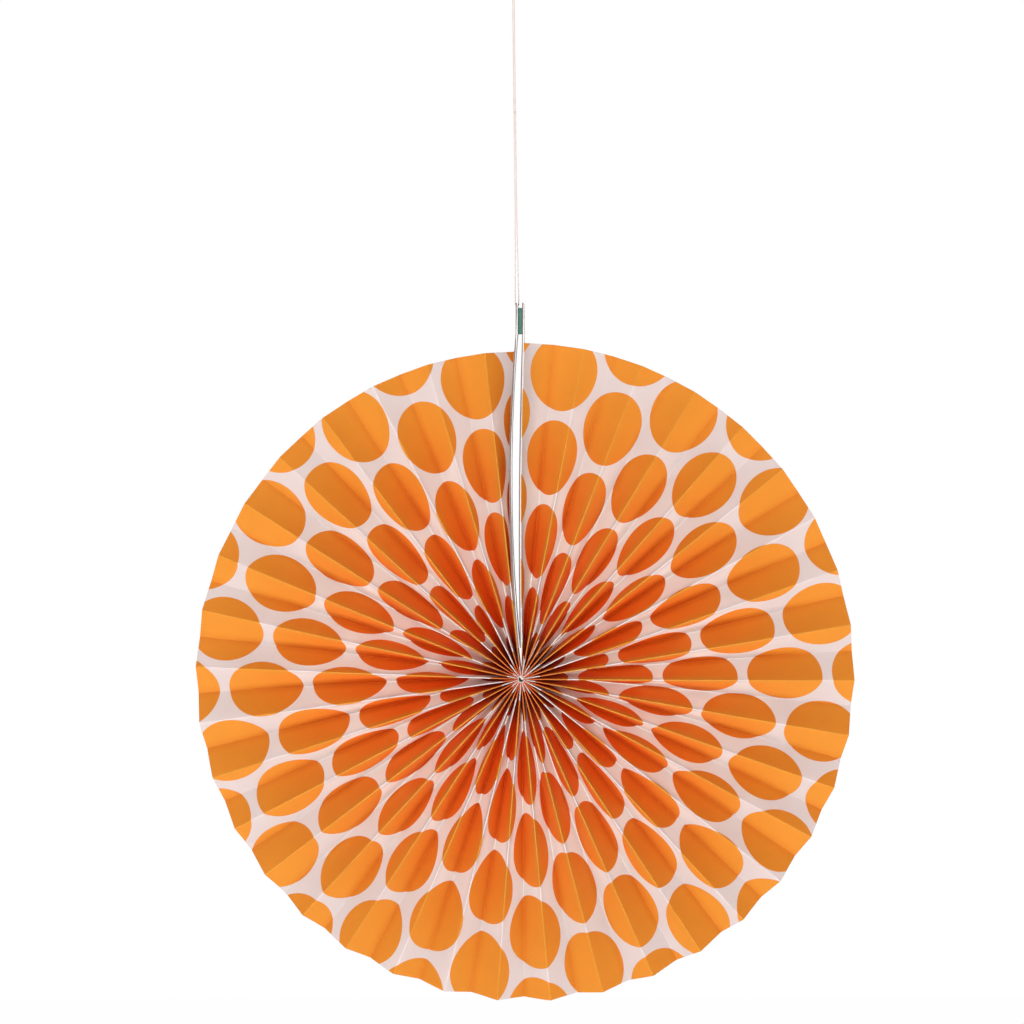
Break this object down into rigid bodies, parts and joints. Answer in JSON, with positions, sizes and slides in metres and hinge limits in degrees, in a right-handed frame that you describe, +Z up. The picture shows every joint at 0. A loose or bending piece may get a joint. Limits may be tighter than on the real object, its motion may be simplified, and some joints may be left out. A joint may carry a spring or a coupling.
{
  "type": "paper fan rosette",
  "caption": "Round hanging decoration of accordion-folded printed paper, closed by a seam of two card strips and a foam pad, with a loop of thread above it.",
  "frame": {"origin": "inside top of the hanging thread's loop, where it rests on its hook, straight above the fan's hub", "axes": "+Z up along the hanging thread, +X to the right as the patterned front is seen, -Y out of the patterned front"},
  "size_m": [0.3998, 0.0202, 0.6257],
  "materials": {
    "printed_paper": "matte, orange dots on a pale pinkish white ground",
    "greyboard": "matte, pale faces with grey-brown cut edges",
    "foam": "matte teal foam",
    "thread": "twisted pale thread"
  },
  "bodies": {
    "root": {"pleated_paper": "printed_paper", "right_end_card": "greyboard", "left_end_card": "greyboard", "joining_pad": "foam", "hub_tie": "thread", "hanging_thread": "thread", "thread_knot": "thread"}
  },
  "joints": []
}
